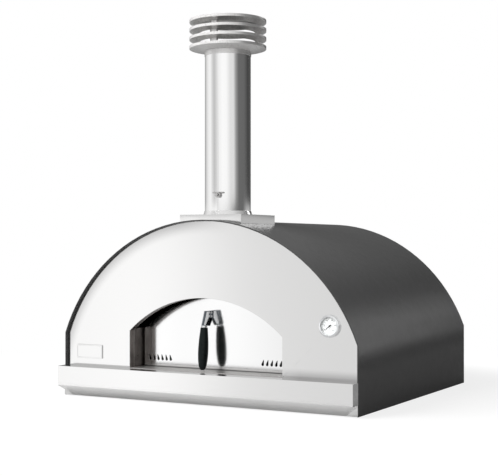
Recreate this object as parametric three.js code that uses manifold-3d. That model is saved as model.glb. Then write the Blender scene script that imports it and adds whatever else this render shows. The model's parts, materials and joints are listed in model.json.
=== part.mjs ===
// Portable pizza oven: a vaulted steel casing with a stainless front, an insulated baking chamber,
// a lift-out door, a dial thermometer and a flue with a damper and a cap of stacked rings.
// Millimetres, +Z up, +X to the right seen from the front. The front faces -Y and the oven stands on Z = 0.
import * as THREE from 'three';
import { mergeVertices } from 'three/addons/utils/BufferGeometryUtils.js';
import Module from 'manifold-3d';

const wasm = await Module();
wasm.setup();

// Gap between two pieces that touch, and how far a cutting tool runs past what it cuts
const gap = 0.3;
const overrun = 5;

// Casing: straight side walls up to a knee, then one arc over the crown
const casingWidth = 1070;
const casingDepth = 968;
const kneeHeight = 209;
const crownHeight = 582;
const casingSheet = 1.5;
const hemThickness = 4;
const hemLength = 11.7;

// Front and rear panels, folded back along the casing
const panelSheet = 1.2;
const panelRim = 12;

// Base tray
const traySheet = 2;
const trayFlange = 30;

// Mouth opening in the front panel
const mouthWidth = 560;
const mouthKnee = 223;
const mouthApex = 335;
const mouthFlange = 24;
const hearthTop = 102;

// Front shelf: a folded box across the whole front, with a bevel under it, mitred ends and a back plate
const shelfReach = 39;
const shelfFace = 65;
const shelfFoot = 1;
const shelfSheet = 2;
const shelfMitre = 38;
const shelfPlateInset = 0.5;
const shelfPlateLap = 8;

// Insulation and baking chamber
const tileThickness = 30;
const tileColumns = 3;
const tileRows = 2;
const tileJoint = 0.5;
const hearthMargin = 2;
const vaultInsulation = 50;
const rearInsulation = 50;
const chamberSheet = 1.5;
const chamberWall = 2;

// Way in: a sill, a lining on each side of the door's path and a stop on each side behind the door
const doorSetback = 78;
const sillSheet = 1.2;
const sillLeg = 20;
const sillTail = 4;
const jambSetback = 1.5;
const jambSheet = 1.5;
const jambRise = 5;
const jambEndGap = 1.6;
const stopSheet = 1.5;
const stopOffset = 10;
const stopFlange = 20;
const stopLedge = 18;

// Flue
const flueSetback = 168;
const pipeRadius = 75;
const pipeSheet = 1;
const pipeLength = 540;
const spigotPlay = 0.6;
const spigotSheet = 1.2;
const spigotHeight = 40;
const plinthRise = 18;
const plinthWidth = 227;
const plinthSheet = 1.5;
const footRingHeight = 13;
const footRingFlare = 3.7;
const footRingSheet = 1;

// Cap: a stack of dished rings on three straps, closed by a disc
const capRings = 4;
const ringWidth = 34.5;
const ringPitch = 28.6;
const ringRim = 9;
const ringSheet = 1.2;
const ringDish = 10 * Math.PI / 180;
const ringSeat = 7.8;
const strapCount = 3;
const strapStandoff = 15;
const strapWidth = 27;
const strapSheet = 1.8;
const strapSegments = 3;
const collarOverlap = 21;
const collarRise = 10;
const collarSheet = 1.2;

// Damper: a disc on a spindle across the pipe, turned by a knob with a cross bar
const damperRise = 63;
const damperTurn = 8 * Math.PI / 180;
const damperPlay = 2.2;
const damperSheet = 1.5;
const spindleRadius = 4;
const spindleFit = 0.1;
const spindleTail = 8;
const spindleReach = 24;
const sleeveSheet = 2;
const sleeveInset = 20;
const knobRadius = 9;
const knobLength = 14;
const knobBarLength = 38;
const knobBarRadius = 2.5;
const knobBarLift = 7.5;

// Thermometer on the front panel, a little above the knee and clear of the chamber's wall
const dialTurn = 9.42 * Math.PI / 180;
const dialMargin = 13;
const bezelRadius = 34;
const bezelWidth = 7;
const bezelWall = 1.2;
const bezelCrown = 3;
const bezelSteps = 6;
const caseSheet = 1;
const caseFloor = 2.5;
const dialSheet = 0.6;
const glassSheet = 1.2;
const bossRadius = 8;
const bossLength = 14;
const stemRadius = 3;
const stemReach = 190;
const nutRadius = 13;
const nutThickness = 6;
const nutSides = 6;
const needleLength = 23;
const needleTail = 7;
const needleHalfWidth = 1.6;
const needleSheet = 0.5;
const needleSpace = 2.6;
const needleHubRadius = 3;
const needleSpindleRadius = 0.8;
const needleRest = 236 * Math.PI / 180;

// Door: a folded skin and a backing plate with insulation between them, on a bottom channel
const doorClearance = 7;
const doorArchClearance = 2;
const doorDepth = 22;
const doorSheet = 1.5;
const footHeight = 10;
const slotCount = 6;
const slotPitch = 16;
const slotEdge = 22;
const slotLift = 15.5;
const slotCover = 20;
const slotRadius = 4.5;
const slotHeight = 19;
const slotLean = 3.5;
const slotTipHalf = 0.8;

// Handle: a pressed bracket with a flange all round, and a round grip hanging from it
const handleX = -14;
const bracketDrop = 43;
const bracketReachTop = 42;
const bracketReachBottom = 60;
const bracketInnerBottom = 20;
const bracketSeat = 24;
const bracketWidth = 10;
const bracketSheet = 2;
const bracketCornerRun = 1.2;
const gripAxisReach = 47.5;
const gripAxisDrop = 46;
const gripTilt = 4.7 * Math.PI / 180;
const ferruleRadius = 10;
const ferruleLength = 5.5;
const tangRadius = 3;
const tangLength = 70;
const gripFoot = 4;
const gripTopRadius = 11.5;
const gripWidestRadius = 16.3;
const gripEndRadius = 6;
const screwRadius = 2;
const screwHeadPlay = 0.6;
const screwHeadHeight = 2.4;
const screwLength = 8;
const screwInset = 6;
const screwSpacing = 12;

// Facets
const vaultSegments = 20;
const mouthSegments = 12;
const pipeSegments = 48;
const smallSegments = 20;
const slotSegments = 4;

// Planes along Y, all worked out from the casing's front lip
const lipY = (shelfReach - casingDepth) / 2;
const rearY = lipY + casingDepth;
const panelY = lipY + hemLength + gap;
const rearPanelY = rearY - hemLength - gap - panelSheet;
const doorY = panelY + doorSetback;
const chamberY = panelY + mouthFlange + gap;
const vaultFrontY = chamberY + chamberWall + gap;
const hearthFrontY = vaultFrontY + hearthMargin;
const rearInsulationY = rearPanelY - gap - rearInsulation;
const rearWallY = rearInsulationY - gap - chamberWall;
const flueY = lipY + flueSetback;

// Offsets inwards from the casing's outer face
const panelInset = casingSheet + gap;
const blanketEndInset = panelInset + panelSheet + gap;
const chamberInset = panelInset + vaultInsulation + gap;
const chamberInnerInset = chamberInset + chamberSheet;

// Heights
const sillBottom = hearthTop - sillSheet;
const shelfTop = sillBottom - gap;
const shelfFaceBottom = shelfTop - shelfFace;
const tileTop = sillBottom - gap;
const floorBoardTop = tileTop - tileThickness - gap;
const chamberBottom = floorBoardTop + gap;
const jambTop = mouthKnee + jambRise;
const plinthTop = crownHeight + plinthRise;

// Flue radii
const pipeBore = pipeRadius - pipeSheet;
const spigotRadius = pipeBore - spigotPlay;
const spigotHole = spigotRadius + gap;
const spigotBore = spigotRadius - spigotSheet;
const damperRadius = spigotBore - damperPlay;
const collarRadius = pipeRadius + gap + collarSheet;
const strapRadius = collarRadius + strapStandoff;
const ringRadius = strapRadius + ringWidth;

// Cap heights above the plinth
const collarTop = pipeLength + collarRise;
const collarBottom = pipeLength - collarOverlap;
const capTop = collarTop - ringSeat + (capRings - 1) * ringPitch + ringRim;

// Thermometer: its layers stand proud of the panel, and its centre follows the arch
const bezelBack = -caseFloor - dialSheet - needleSpace - glassSheet - 2 * gap;

// Door and handle heights
const skinBottom = hearthTop + footHeight;
const slotZ = skinBottom + slotLift;
const doorInsulationBottom = slotZ + slotCover;
const bracketTop = mouthApex - bracketDrop;
const gripAxisTop = bracketTop - gripAxisDrop;
const gripLength = (gripAxisTop - hearthTop - gripFoot) / Math.cos(gripTilt) - ferruleLength - 2 * gap;

// The bracket's pocket is open to the right, and the screws stand in its middle
const screwX = handleX + bracketSheet / 2;
const screwHeadRadius = (bracketWidth - bracketSheet) / 2 - screwHeadPlay;

const vault = archOf(casingWidth / 2, kneeHeight, crownHeight, vaultSegments);
const mouth = archOf(mouthWidth / 2, mouthKnee, mouthApex, mouthSegments);
const doorArch = { ...mouth, half: mouth.half - doorClearance, radius: mouth.radius - doorArchClearance };
const dialAngle = springAngle(vault, 0) - dialTurn;
const dialArc = vault.radius - chamberInset - dialMargin;
const dialX = dialArc * Math.sin(dialAngle);
const dialZ = vault.centre + dialArc * Math.cos(dialAngle);

function archOf(half, knee, crown, segments) {
  const rise = crown - knee;
  const radius = (half * half + rise * rise) / (2 * rise);
  return { half, radius, centre: crown - radius, segments };
}

// Angle of the knee from the vertical, for the arch moved inwards by inset
function springAngle(arch, inset) {
  return Math.asin((arch.half - inset) / (arch.radius - inset));
}

// A whole arch, drawn in X and Z
function archShape(arch, inset, bottom, Kind = THREE.Shape) {
  const half = arch.half - inset;
  const spring = springAngle(arch, inset);
  const shape = new Kind();
  shape.moveTo(-half, bottom);
  shape.lineTo(half, bottom);
  shape.absarc(0, arch.centre, arch.radius - inset, Math.PI / 2 - spring, Math.PI / 2 + spring, false);
  shape.closePath();
  return shape;
}

// The strip between two insets of an arch, open at the bottom
function archBand(arch, outer, inner, bottom) {
  const outerHalf = arch.half - outer;
  const innerHalf = arch.half - inner;
  const outerSpring = springAngle(arch, outer);
  const innerSpring = springAngle(arch, inner);
  const up = Math.PI / 2;
  const shape = new THREE.Shape();
  shape.moveTo(innerHalf, bottom);
  shape.lineTo(outerHalf, bottom);
  shape.absarc(0, arch.centre, arch.radius - outer, up - outerSpring, up + outerSpring, false);
  shape.lineTo(-outerHalf, bottom);
  shape.lineTo(-innerHalf, bottom);
  shape.absarc(0, arch.centre, arch.radius - inner, up + innerSpring, up - innerSpring, true);
  shape.closePath();
  return shape;
}

function polygon(points) {
  return new THREE.Shape(points.map(([x, y]) => new THREE.Vector2(x, y)));
}

// A shape drawn in X and Z, extruded back from front
function alongY(shape, front, depth, segments = vaultSegments) {
  const geometry = new THREE.ExtrudeGeometry(shape, { depth, bevelEnabled: false, curveSegments: segments });
  geometry.rotateX(Math.PI / 2);
  geometry.translate(0, front + depth, 0);
  return geometry;
}

// A shape drawn in Y and Z, extruded to the right from left
function alongX(shape, left, width) {
  const geometry = new THREE.ExtrudeGeometry(shape, { depth: width, bevelEnabled: false });
  geometry.rotateX(Math.PI / 2);
  geometry.rotateZ(Math.PI / 2);
  geometry.translate(left, 0, 0);
  return geometry;
}

// A shape drawn in X and Y, extruded up from bottom
function alongZ(shape, bottom, height, segments = smallSegments) {
  const geometry = new THREE.ExtrudeGeometry(shape, { depth: height, bevelEnabled: false, curveSegments: segments });
  geometry.translate(0, 0, bottom);
  return geometry;
}

function block(x0, x1, y0, y1, z0, z1) {
  const geometry = new THREE.BoxGeometry(x1 - x0, y1 - y0, z1 - z0);
  geometry.translate((x0 + x1) / 2, (y0 + y1) / 2, (z0 + z1) / 2);
  return geometry;
}

// A profile of radius and height pairs, anticlockwise, turned about Y
function turnedY(profile, segments = smallSegments) {
  const points = profile.map(([radius, height]) => new THREE.Vector2(radius, height));
  if (profile[0][0] > 0) {
    points.push(points[0].clone());
  }
  return new THREE.LatheGeometry(points, segments);
}

// The same, turned about Z
function turnedZ(profile, segments = pipeSegments) {
  return turnedY(profile, segments).rotateX(Math.PI / 2);
}

function tubeProfile(inner, outer, bottom, top) {
  return [[inner, bottom], [outer, bottom], [outer, top], [inner, top]];
}

function rodProfile(radius, bottom, top) {
  return [[0, bottom], [radius, bottom], [radius, top], [0, top]];
}

function rodY(radius, front, back, segments = smallSegments) {
  return turnedY(rodProfile(radius, front, back), segments);
}

function rodZ(radius, bottom, top, segments = pipeSegments) {
  return turnedZ(rodProfile(radius, bottom, top), segments);
}

// A closed mesh as a solid that can be joined and cut
function solidOf(geometry) {
  const bare = geometry.clone();
  bare.deleteAttribute('normal');
  bare.deleteAttribute('uv');
  const welded = mergeVertices(bare);
  const corners = welded.index.array;
  const kept = [];
  for (let i = 0; i < corners.length; i += 3) {
    const [a, b, c] = corners.slice(i, i + 3);
    if (a !== b && b !== c && c !== a) {
      kept.push(a, b, c);
    }
  }
  const vertProperties = welded.attributes.position.array;
  return new wasm.Manifold(new wasm.Mesh({ numProp: 3, vertProperties, triVerts: new Uint32Array(kept) }));
}

function geometryOf(solid) {
  const mesh = solid.getMesh();
  const geometry = new THREE.BufferGeometry();
  geometry.setAttribute('position', new THREE.BufferAttribute(mesh.vertProperties, 3));
  geometry.setIndex(new THREE.BufferAttribute(mesh.triVerts, 1));
  geometry.computeVertexNormals();
  return geometry;
}

function joined(...geometries) {
  return geometryOf(geometries.map(solidOf).reduce((whole, next) => whole.add(next)));
}

function cut(base, ...tools) {
  return geometryOf(tools.map(solidOf).reduce((whole, tool) => whole.subtract(tool), solidOf(base)));
}

function common(first, second) {
  return geometryOf(solidOf(first).intersect(solidOf(second)));
}

function moved(geometry, x, y, z) {
  return geometry.translate(x, y, z);
}

// Finishes
function finish(color, roughness, metalness) {
  return () => new THREE.MeshStandardMaterial({ color, roughness, metalness });
}

const paint = finish(0x4c4c4c, 0.5, 0.3);
const brushed = finish(0xdedcdb, 0.35, 1);
const polished = finish(0xe6e6e6, 0.12, 1);
const rawSteel = finish(0x8c8985, 0.45, 1);
const darkSteel = finish(0x3a3633, 0.6, 0.8);
const galvanised = finish(0xa9acad, 0.5, 1);
const blanket = finish(0xe9e6dc, 0.95, 0);
const board = finish(0xd8d2c4, 0.9, 0);
const firebrick = finish(0xcbb08c, 0.9, 0);
const chrome = finish(0xe2e4e6, 0.08, 1);
const dialPaint = finish(0xf2f2ef, 0.5, 0);
const needlePaint = finish(0x1c1c1c, 0.5, 0);
const clearGlass = finish(0xf4f8f8, 0.05, 0);
const gripResin = finish(0x141a1a, 0.4, 0);
const zinc = finish(0xb8b8b4, 0.35, 1);

function piece(group, name, geometry, material) {
  const mesh = new THREE.Mesh(geometry, material());
  mesh.name = name;
  group.add(mesh);
}

// The round hole that the spigot passes through, anywhere in the crown
function spigotHoleTool() {
  return moved(rodZ(spigotHole, kneeHeight, plinthTop + overrun), 0, flueY, 0);
}

function stemHoleTool(radius) {
  return moved(rodY(radius, panelY - overrun, rearY), dialX, 0, dialZ);
}

// An arched pan: a sheet face with a rim of the same sheet, turned forwards or back
function archPan(arch, inset, sheet, bottom, front, depth, openFront, segments) {
  const hollow = archShape(arch, inset + sheet, bottom - overrun);
  const hollowFront = openFront ? front - overrun : front + sheet;
  const hollowDepth = depth - sheet + overrun;
  const outside = alongY(archShape(arch, inset, bottom), front, depth, segments);
  return cut(outside, alongY(hollow, hollowFront, hollowDepth, segments));
}

// The casing's arch strip, thicker where its front and rear edges are hemmed
function casingShell() {
  const strip = alongY(archBand(vault, 0, hemThickness, 0), lipY, casingDepth);
  const between = archShape(vault, casingSheet, -overrun);
  const hollow = alongY(between, lipY + hemLength, casingDepth - 2 * hemLength);
  return cut(strip, hollow, spigotHoleTool());
}

// The stainless front: folded back at its edge and round the mouth
function frontPanel() {
  const pan = archPan(vault, panelInset, panelSheet, traySheet + gap, panelY, panelRim, false, vaultSegments);
  const fold = archShape(mouth, -panelSheet, shelfTop + gap);
  const foldFront = panelY + panelSheet / 2;
  const foldSolid = alongY(fold, foldFront, panelY + mouthFlange - foldFront, mouthSegments);
  const mouthWay = alongY(archShape(mouth, 0, shelfTop), panelY - overrun, casingDepth / 2, mouthSegments);
  return cut(joined(pan, foldSolid), mouthWay, stemHoleTool(bossRadius + gap));
}

function rearPanel() {
  const front = rearPanelY + panelSheet - panelRim;
  return archPan(vault, panelInset, panelSheet, traySheet + gap, front, panelRim, true, vaultSegments);
}

function baseTray() {
  const half = casingWidth / 2 - panelInset;
  const front = panelY;
  const back = rearPanelY + panelSheet;
  const flangeFront = panelY + panelRim + gap;
  const flangeBack = rearPanelY + panelSheet - panelRim - gap;
  const plate = block(-half, half, front, back, 0, traySheet);
  const left = block(-half, -half + traySheet, flangeFront, flangeBack, 0, trayFlange);
  const right = block(half - traySheet, half, flangeFront, flangeBack, 0, trayFlange);
  return joined(plate, left, right);
}

// The shelf's outside, or its hollow when inset is the sheet's thickness
function shelfBody(inset) {
  const half = casingWidth / 2 - inset;
  const front = lipY - shelfReach + inset;
  const back = inset ? lipY + overrun : lipY - gap;
  const top = shelfTop - inset;
  const bevel = Math.atan2(shelfFaceBottom - shelfFoot, shelfReach - gap);
  const lift = inset / Math.cos(bevel);
  const faceBottom = shelfFaceBottom + lift - inset * Math.tan(bevel);
  const foot = shelfFaceBottom + lift - (back - lipY + shelfReach) * Math.tan(bevel);
  const side = polygon([[back, foot], [back, top], [front, top], [front, faceBottom]]);
  const mitreX = half - shelfMitre * (shelfFaceBottom - foot) / (shelfFaceBottom - shelfFoot);
  const face = polygon([
    [-mitreX, foot], [mitreX, foot], [half, shelfFaceBottom],
    [half, top], [-half, top], [-half, shelfFaceBottom],
  ]);
  return common(alongX(side, -half, 2 * half), alongY(face, front - overrun, back - front + 2 * overrun));
}

// The back plate covers the casing's lip behind the mitres
function frontShelf() {
  const innerHalf = casingWidth / 2 - hemThickness - gap;
  const tongue = block(-innerHalf, innerHalf, lipY - shelfReach / 2, panelY - gap, shelfTop - shelfSheet, shelfTop);
  const plateHalf = casingWidth / 2 - shelfPlateInset;
  const plateBack = lipY - gap - shelfPlateInset;
  const plateFoot = shelfFoot + shelfPlateInset;
  const plateTop = shelfFaceBottom + shelfPlateLap;
  const plate = block(-plateHalf, plateHalf, plateBack - shelfSheet, plateBack, plateFoot, plateTop);
  return joined(cut(shelfBody(0), shelfBody(shelfSheet)), tongue, plate);
}

function floorBoard() {
  const half = casingWidth / 2 - panelInset - traySheet - gap;
  return block(-half, half, panelY + panelSheet + gap, rearPanelY - gap, traySheet + gap, floorBoardTop);
}

function vaultBlanket() {
  const band = archBand(vault, panelInset, panelInset + vaultInsulation, chamberBottom);
  return cut(alongY(band, chamberY, rearWallY + chamberWall - chamberY), spigotHoleTool());
}

function frontBlanket() {
  const front = panelY + panelSheet + gap;
  const slab = alongY(archShape(vault, blanketEndInset, chamberBottom), front, chamberY - gap - front);
  const hole = archShape(mouth, -(panelSheet + gap), sillBottom - sillLeg - gap);
  const mouthHole = alongY(hole, front - overrun, chamberY - front + 2 * overrun, mouthSegments);
  return cut(slab, mouthHole, stemHoleTool(nutRadius + gap));
}

function rearBlanket() {
  return alongY(archShape(vault, blanketEndInset, chamberBottom), rearInsulationY, rearInsulation);
}

function chamberVault() {
  const band = archBand(vault, chamberInset, chamberInnerInset, chamberBottom);
  return cut(alongY(band, vaultFrontY, rearWallY - gap - vaultFrontY), spigotHoleTool());
}

function chamberFrontWall() {
  const slab = alongY(archShape(vault, chamberInset, chamberBottom), chamberY, chamberWall);
  const hole = archShape(mouth, 0, sillBottom - gap);
  const way = alongY(hole, chamberY - overrun, chamberWall + 2 * overrun, mouthSegments);
  return cut(slab, way, stemHoleTool(stemRadius + gap));
}

function chamberRearWall() {
  return alongY(archShape(vault, chamberInset, chamberBottom), rearWallY, chamberWall);
}

function addHearth(group) {
  const half = casingWidth / 2 - chamberInnerInset - hearthMargin;
  const front = hearthFrontY;
  const back = rearWallY - hearthMargin;
  const tileWidth = (2 * half - (tileColumns - 1) * tileJoint) / tileColumns;
  const tileDepth = (back - front - (tileRows - 1) * tileJoint) / tileRows;
  for (let row = 0; row < tileRows; row += 1) {
    for (let column = 0; column < tileColumns; column += 1) {
      const x = -half + column * (tileWidth + tileJoint);
      const y = front + row * (tileDepth + tileJoint);
      const tile = block(x, x + tileWidth, y, y + tileDepth, tileTop - tileThickness, tileTop);
      piece(group, `hearth_tile_${row * tileColumns + column + 1}`, tile, firebrick);
    }
  }
}

// A plate through the mouth, turned down behind the front panel. It runs back over the tiles, under the door.
function mouthSill() {
  const half = mouthWidth / 2 - gap;
  const front = panelY + panelSheet + gap;
  const back = doorY + doorDepth + sillTail;
  const leg = sillBottom - sillLeg;
  const section = polygon([
    [front, leg], [front + sillSheet, leg], [front + sillSheet, sillBottom],
    [back, sillBottom], [back, hearthTop], [front, hearthTop],
  ]);
  return alongX(section, -half, 2 * half);
}

// A lining beside the door's path, with a fold at its rear edge that reaches the door stop
function jamb(side) {
  const face = mouthWidth / 2 + jambSetback;
  const reach = mouthWidth / 2 + stopOffset - gap;
  const back = doorY - jambEndGap;
  const bottom = hearthTop + gap;
  const plan = polygon([
    [side * face, vaultFrontY], [side * face, back], [side * reach, back],
    [side * reach, back - jambSheet], [side * (face + jambSheet), back - jambSheet],
    [side * (face + jambSheet), vaultFrontY],
  ]);
  return alongZ(plan, bottom, jambTop - bottom);
}

// A folded strip on the chamber's front wall that reaches back and in, behind the door's edge
function doorStop(side) {
  const web = mouthWidth / 2 + stopOffset;
  const ledge = mouthWidth / 2 - stopLedge;
  const back = doorY + doorDepth + gap;
  const bottom = hearthTop + gap;
  const plan = polygon([
    [side * web, vaultFrontY], [side * (web + stopFlange), vaultFrontY],
    [side * (web + stopFlange), vaultFrontY + stopSheet], [side * (web + stopSheet), vaultFrontY + stopSheet],
    [side * (web + stopSheet), back + stopSheet], [side * ledge, back + stopSheet],
    [side * ledge, back], [side * web, back],
  ]);
  return alongZ(plan, bottom, jambTop - bottom);
}

// A hood on the crown: its skirt follows the casing's curve
function fluePlinth() {
  const half = plinthWidth / 2;
  const inner = half - plinthSheet;
  const outside = block(-half, half, flueY - half, flueY + half, kneeHeight, plinthTop);
  const inside = block(-inner, inner, flueY - inner, flueY + inner, kneeHeight - overrun, plinthTop - plinthSheet);
  const casing = alongY(archShape(vault, -gap, -overrun), flueY - plinthWidth, 2 * plinthWidth);
  return cut(outside, inside, casing, spigotHoleTool());
}

// The spigot starts flush with the chamber's ceiling and ends inside the pipe
function flueSpigot() {
  const tube = turnedZ(tubeProfile(spigotBore, spigotRadius, kneeHeight, plinthTop + spigotHeight));
  const chamber = alongY(archShape(vault, chamberInnerInset, 0), vaultFrontY, rearWallY - vaultFrontY);
  return cut(moved(tube, 0, flueY, 0), chamber);
}

function flueFootRing() {
  const inner = pipeRadius + gap;
  const outer = inner + footRingSheet;
  return turnedZ([
    [inner, gap], [outer + footRingFlare, gap], [outer, footRingHeight], [inner, footRingHeight],
  ]);
}

function spindleHoleTool() {
  const hole = rodY(spindleRadius + spindleFit, -2 * pipeRadius, 2 * pipeRadius);
  return moved(hole.rotateZ(damperTurn), 0, 0, damperRise);
}

function fluePipe() {
  const tube = turnedZ(tubeProfile(pipeBore, pipeRadius, gap, pipeLength));
  return cut(tube, spindleHoleTool());
}

// Height of a dished ring's underside at a radius, below the foot of its rim
function dishDrop(radius) {
  return (ringRadius - radius) * Math.tan(ringDish);
}

// An upright rim with a dished plate that slopes down to the ring's inner edge
function capRing(inner) {
  const thickness = ringSheet / Math.cos(ringDish);
  const rimInner = ringRadius - ringSheet;
  return turnedZ([
    [inner, -dishDrop(inner)], [ringRadius, 0], [ringRadius, ringRim], [rimInner, ringRim],
    [rimInner, thickness - dishDrop(rimInner)], [inner, thickness - dishDrop(inner)],
  ]);
}

// A strap bent to the cap's round, drawn at azimuth 0, towards the front
function capStrap(bottom, top) {
  const half = strapWidth / strapRadius / 2;
  const front = -Math.PI / 2;
  const plan = new THREE.Shape();
  plan.absarc(0, 0, strapRadius, front - half, front + half, false);
  plan.absarc(0, 0, strapRadius - strapSheet, front + half, front - half, true);
  plan.closePath();
  return alongZ(plan, bottom, top - bottom, strapSegments);
}

function addCap(flue) {
  const collar = turnedZ(tubeProfile(pipeRadius + gap, collarRadius, collarBottom, collarTop));
  piece(flue, 'cap_collar', collar, polished);
  const rimFoot = (index) => capTop - ringRim - index * ringPitch;
  for (let index = 0; index < capRings; index += 1) {
    const inner = index === capRings - 1 ? collarRadius + gap : strapRadius + gap;
    piece(flue, `cap_ring_${index + 1}`, moved(capRing(inner), 0, 0, rimFoot(index)), polished);
  }
  const discTop = capTop - gap;
  const disc = rodZ(ringRadius - ringSheet - gap, discTop - ringSheet, discTop);
  piece(flue, 'cap_disc', disc, polished);
  const seat = rimFoot(capRings - 1) - dishDrop(strapRadius) + ringSheet / Math.cos(ringDish) + gap;
  for (let index = 0; index < strapCount; index += 1) {
    const strap = capStrap(seat, discTop - ringSheet - gap);
    strap.rotateZ(index * 2 * Math.PI / strapCount);
    piece(flue, `cap_strap_${index + 1}`, strap, polished);
  }
}

// The damper in its own frame: the spindle lies along Y and the knob is in front
function addDamper(flue) {
  const damper = new THREE.Group();
  damper.position.z = damperRise;
  damper.rotation.z = damperTurn;
  flue.add(damper);
  const bore = rodY(spindleRadius + gap, -2 * pipeRadius, 2 * pipeRadius);
  const disc = rodZ(damperRadius, -damperSheet / 2, damperSheet / 2, pipeSegments);
  const sleeveEnd = damperRadius - sleeveInset;
  const sleeve = rodY(spindleRadius + gap + sleeveSheet, -sleeveEnd, sleeveEnd);
  piece(damper, 'damper_plate', cut(joined(disc, sleeve), bore), rawSteel);
  const spindle = rodY(spindleRadius, -pipeRadius - spindleReach, pipeRadius + spindleTail);
  piece(damper, 'damper_spindle', spindle, zinc);
  const knobBack = -pipeRadius - gap * 2;
  const knobFront = knobBack - knobLength;
  const hub = rodY(knobRadius, knobFront, knobBack);
  const bar = rodZ(knobBarRadius, -knobBarLength / 2, knobBarLength / 2, smallSegments / 2);
  bar.rotateY(Math.PI / 2);
  bar.translate(0, (knobFront + knobBack) / 2, knobBarLift);
  piece(damper, 'damper_knob', cut(joined(hub, bar), bore), zinc);
}

function addFlue(oven) {
  piece(oven, 'flue_spigot', flueSpigot(), galvanised);
  piece(oven, 'flue_plinth', fluePlinth(), brushed);
  const flue = new THREE.Group();
  flue.position.set(0, flueY, plinthTop);
  oven.add(flue);
  piece(flue, 'flue_foot_ring', flueFootRing(), brushed);
  piece(flue, 'flue_pipe', fluePipe(), polished);
  addCap(flue);
  addDamper(flue);
}

function thermometerCase() {
  const outer = bezelRadius - bezelWall - gap * 2;
  const inner = outer - caseSheet;
  const bore = stemRadius + gap;
  const front = bezelBack + gap;
  return turnedY([
    [bore, -caseFloor], [inner, -caseFloor], [inner, front], [outer, front],
    [outer, -gap], [bossRadius, -gap], [bossRadius, bossLength], [bore, bossLength],
  ], 2 * smallSegments);
}

// The bezel's face is rounded from its inner lip out to its side wall
function thermometerBezel() {
  const inner = bezelRadius - bezelWall - gap;
  const lip = bezelRadius - bezelWidth;
  const face = [];
  for (let step = 0; step <= bezelSteps; step += 1) {
    const turn = Math.PI / 2 * step / bezelSteps;
    face.push([lip + bezelWidth * Math.sin(turn), bezelBack - bezelCrown * Math.cos(turn)]);
  }
  const wall = [[bezelRadius, -gap], [inner, -gap], [inner, bezelBack], [lip, bezelBack]];
  return turnedY([...face, ...wall], 2 * smallSegments);
}

// The pointer is drawn straight up, then turned to its cold mark
function thermometerNeedle(dialFront) {
  const hubBack = dialFront - gap;
  const hubFront = hubBack - 3 * needleSheet;
  const outline = polygon([
    [0, needleLength], [-needleHalfWidth, 0], [-needleHalfWidth, -needleTail],
    [needleHalfWidth, -needleTail], [needleHalfWidth, 0],
  ]);
  const pointer = alongY(outline, hubBack - 2 * needleSheet, needleSheet);
  const hub = rodY(needleHubRadius, hubFront, hubBack);
  const spindle = rodY(needleSpindleRadius, hubFront + needleSheet, -caseFloor - gap / 2, smallSegments / 2);
  return joined(pointer, hub, spindle).rotateY(needleRest);
}

function thermometerNut() {
  const front = panelSheet + gap;
  const body = rodY(nutRadius, front, front + nutThickness, nutSides);
  return cut(body, rodY(bossRadius + gap, front - overrun, front + nutThickness + overrun));
}

function addThermometer(oven) {
  const group = new THREE.Group();
  group.position.set(dialX, panelY, dialZ);
  oven.add(group);
  const caseInner = bezelRadius - bezelWall - gap * 2 - caseSheet;
  const dialBack = -caseFloor - gap;
  const dialFront = dialBack - dialSheet;
  const glassFront = bezelBack + gap;
  const needleHole = needleSpindleRadius + gap;
  const dial = turnedY(tubeProfile(needleHole, caseInner - gap, dialFront, dialBack), 2 * smallSegments);
  const glass = rodY(caseInner - gap, glassFront, glassFront + glassSheet, 2 * smallSegments);
  piece(group, 'thermometer_case', thermometerCase(), chrome);
  piece(group, 'thermometer_stem', rodY(stemRadius, -caseFloor + gap, stemReach), chrome);
  piece(group, 'thermometer_bezel', thermometerBezel(), chrome);
  piece(group, 'thermometer_dial', dial, dialPaint);
  piece(group, 'thermometer_glass', glass, clearGlass);
  piece(group, 'thermometer_nut', thermometerNut(), zinc);
  piece(group, 'thermometer_needle', thermometerNeedle(dialFront), needlePaint);
}

// An air slot: a drop that leans outwards, with its round end at the bottom and a blunt tip
function airSlot(x, side) {
  const shoulder = Math.PI / 12;
  const tipX = x + side * slotLean;
  const tipZ = slotZ + slotHeight - slotRadius;
  const drop = new THREE.Shape();
  drop.absarc(x, slotZ, slotRadius, Math.PI - shoulder, 2 * Math.PI + shoulder, false);
  drop.lineTo(tipX + slotTipHalf, tipZ);
  drop.lineTo(tipX - slotTipHalf, tipZ);
  drop.closePath();
  return alongY(drop, doorY - overrun, doorDepth + 2 * overrun, slotSegments);
}

function airSlots() {
  const outermost = doorArch.half - slotEdge;
  const slots = [];
  for (const side of [-1, 1]) {
    for (let index = 0; index < slotCount; index += 1) {
      slots.push(airSlot(side * (outermost - index * slotPitch), side));
    }
  }
  return slots;
}

function screwHeights() {
  return [bracketTop - screwInset, bracketTop - screwInset - screwSpacing];
}

function screwHoleTools(radius) {
  return screwHeights().map((z) => moved(rodY(radius, doorY - overrun, doorY + doorDepth), screwX, 0, z));
}

function doorSkin() {
  const depth = doorDepth - doorSheet - gap;
  const pan = archPan(doorArch, 0, doorSheet, skinBottom, doorY, depth, false, mouthSegments);
  return cut(pan, ...airSlots(), ...screwHoleTools(screwRadius + gap));
}

function doorBacking() {
  const shape = archShape(doorArch, 0, skinBottom);
  const plate = alongY(shape, doorY + doorDepth - doorSheet, doorSheet, mouthSegments);
  return cut(plate, ...airSlots());
}

function doorBlanket() {
  const inset = doorSheet + gap;
  const front = doorY + doorSheet + gap;
  const depth = doorDepth - 2 * (doorSheet + gap);
  const slab = alongY(archShape(doorArch, inset, doorInsulationBottom), front, depth, mouthSegments);
  return cut(slab, ...screwHoleTools(screwHeadRadius + gap));
}

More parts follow.
